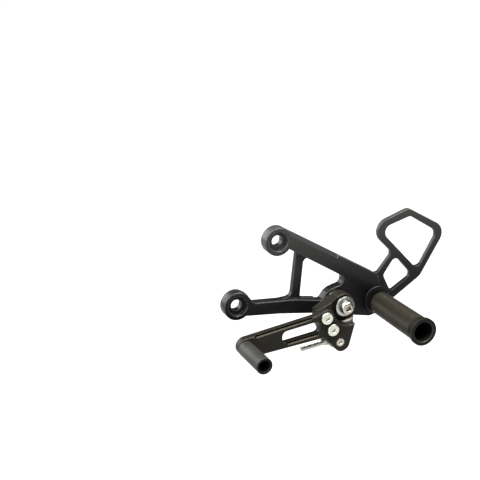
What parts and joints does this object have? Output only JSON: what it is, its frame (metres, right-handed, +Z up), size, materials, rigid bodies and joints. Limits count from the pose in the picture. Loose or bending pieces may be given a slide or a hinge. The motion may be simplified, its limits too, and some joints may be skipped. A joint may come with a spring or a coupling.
{
  "type": "foot peg",
  "caption": "Motorcycle rearset: knurled fixed foot peg on a flat side plate with two bolt eyes, a looped heel guard and a pivoting shift lever with a toe peg and a rod end.",
  "frame": {"origin": "on the axis of the upper frame bolt, in the plane of the frame-side faces of the two bolt eyes", "axes": "+X to the rear of the motorcycle, -Y outboard along the foot peg, +Z up"},
  "size_m": [0.2303, 0.097, 0.1182],
  "materials": {
    "plate_black": "satin black anodised",
    "peg_black": "knurled, hard black-brown anodised",
    "lever_bronze": "satin dark bronze anodised",
    "toe_peg_grey": "satin grey anodised",
    "zinc_screw": "bright zinc plated",
    "zinc_yellow": "pale yellow zinc plated",
    "bright_steel": "bright stainless",
    "bush_bronze": "plain bronze"
  },
  "bodies": {
    "side_plate": {"main_plate": "plate_black", "heel_guard": "plate_black", "guard_screw_upper": "bright_steel", "guard_screw_lower": "bright_steel", "peg_collar": "plate_black", "foot_peg": "peg_black", "peg_washer": "bright_steel", "peg_bolt": "bright_steel", "pivot_spacer": "bright_steel", "pivot_sleeve": "bright_steel", "pivot_washer": "zinc_screw", "pivot_bolt": "bright_steel"},
    "shift_lever": {"shift_hub": "lever_bronze", "bush_inboard": "bush_bronze", "bush_outboard": "bush_bronze", "toe_lever": "lever_bronze", "toe_lever_screw_upper": "zinc_screw", "toe_lever_screw_lower": "zinc_screw", "toe_peg": "toe_peg_grey", "toe_peg_screw": "bright_steel", "rod_end_bolt": "bright_steel", "rod_end_nut": "zinc_screw"},
    "rod_ball": {"rod_end_ball": "bright_steel"},
    "rod_end": {"rod_end_liner": "bush_bronze", "rod_end_housing": "zinc_yellow"}
  },
  "joints": [
    {"name": "shift_pivot", "type": "hinge", "parent": "side_plate", "child": "shift_lever", "pos_m": [0.059, -0.011, -0.0641], "axis": [0, 1, 0], "range_deg": [-12, 12]},
    {"name": "rod_swivel", "type": "hinge", "parent": "shift_lever", "child": "rod_ball", "pos_m": [0.0508, -0.0277, -0.0955], "axis": [0, 1, 0], "range_deg": [-60, 6]},
    {"name": "rod_tilt", "type": "hinge", "parent": "rod_ball", "child": "rod_end", "pos_m": [0.0508, -0.0277, -0.0955], "axis": [0.1296, 0, -0.9916], "range_deg": [-5, 8]}
  ]
}
